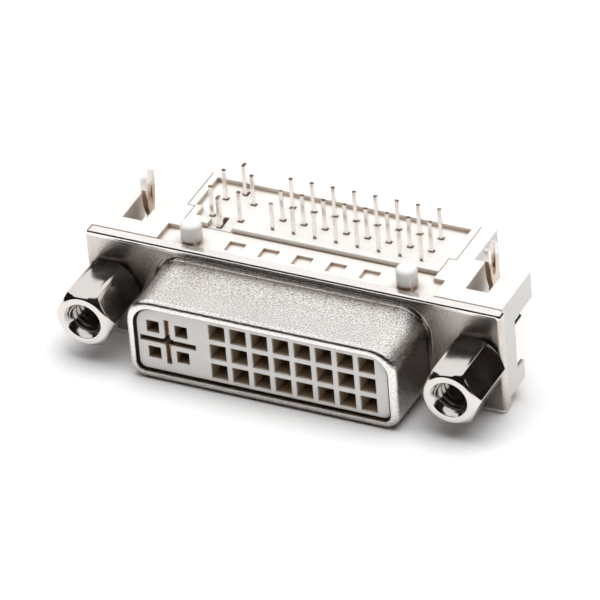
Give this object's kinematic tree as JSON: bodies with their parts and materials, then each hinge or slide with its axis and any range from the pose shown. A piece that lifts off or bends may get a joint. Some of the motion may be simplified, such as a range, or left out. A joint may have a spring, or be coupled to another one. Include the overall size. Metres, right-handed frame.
{
  "type": "right-angle digital video board connector",
  "caption": "Right-angle board connector with a D-shaped metal shroud, a grid of square contact holes, a cross-shaped ground slot, hex jack sockets, solder tails and board locks.",
  "frame": {"origin": "on the front face of the flange, in the middle of the D shroud", "axes": "+X along the flange, the digital contacts on the +X side; -Y out of the mating face; +Z towards the circuit board, along the solder tails"},
  "size_m": [0.0382, 0.0174, 0.0123],
  "materials": {
    "shell_nickel": "satin nickel plate with a fine grain",
    "jack_nickel": "bright nickel plate",
    "housing_white": "white moulded plastic, slightly warm",
    "spacer_white": "white moulded plastic",
    "contact_tin": "copper alloy, tin-plated tails and gold-plated cups",
    "lock_tin": "copper alloy, bright tin plate"
  },
  "bodies": {
    "root": {"front_shell": "shell_nickel", "housing": "housing_white", "tail_spacer": "spacer_white", "jack_socket_left": "jack_nickel", "jack_socket_right": "jack_nickel", "board_lock_left": "lock_tin", "board_lock_right": "lock_tin", "contact_1": "contact_tin", "contact_2": "contact_tin", "contact_3": "contact_tin", "contact_4": "contact_tin", "contact_5": "contact_tin", "contact_6": "contact_tin", "contact_7": "contact_tin", "contact_8": "contact_tin", "contact_9": "contact_tin", "contact_10": "contact_tin", "contact_11": "contact_tin", "contact_12": "contact_tin", "contact_13": "contact_tin", "contact_14": "contact_tin", "contact_15": "contact_tin", "contact_16": "contact_tin", "contact_17": "contact_tin", "contact_18": "contact_tin", "contact_19": "contact_tin", "contact_20": "contact_tin", "contact_21": "contact_tin", "contact_22": "contact_tin", "contact_23": "contact_tin", "contact_24": "contact_tin", "contact_c1": "contact_tin", "contact_c2": "contact_tin", "contact_c3": "contact_tin", "contact_c4": "contact_tin", "contact_c5": "contact_tin"}
  },
  "joints": []
}
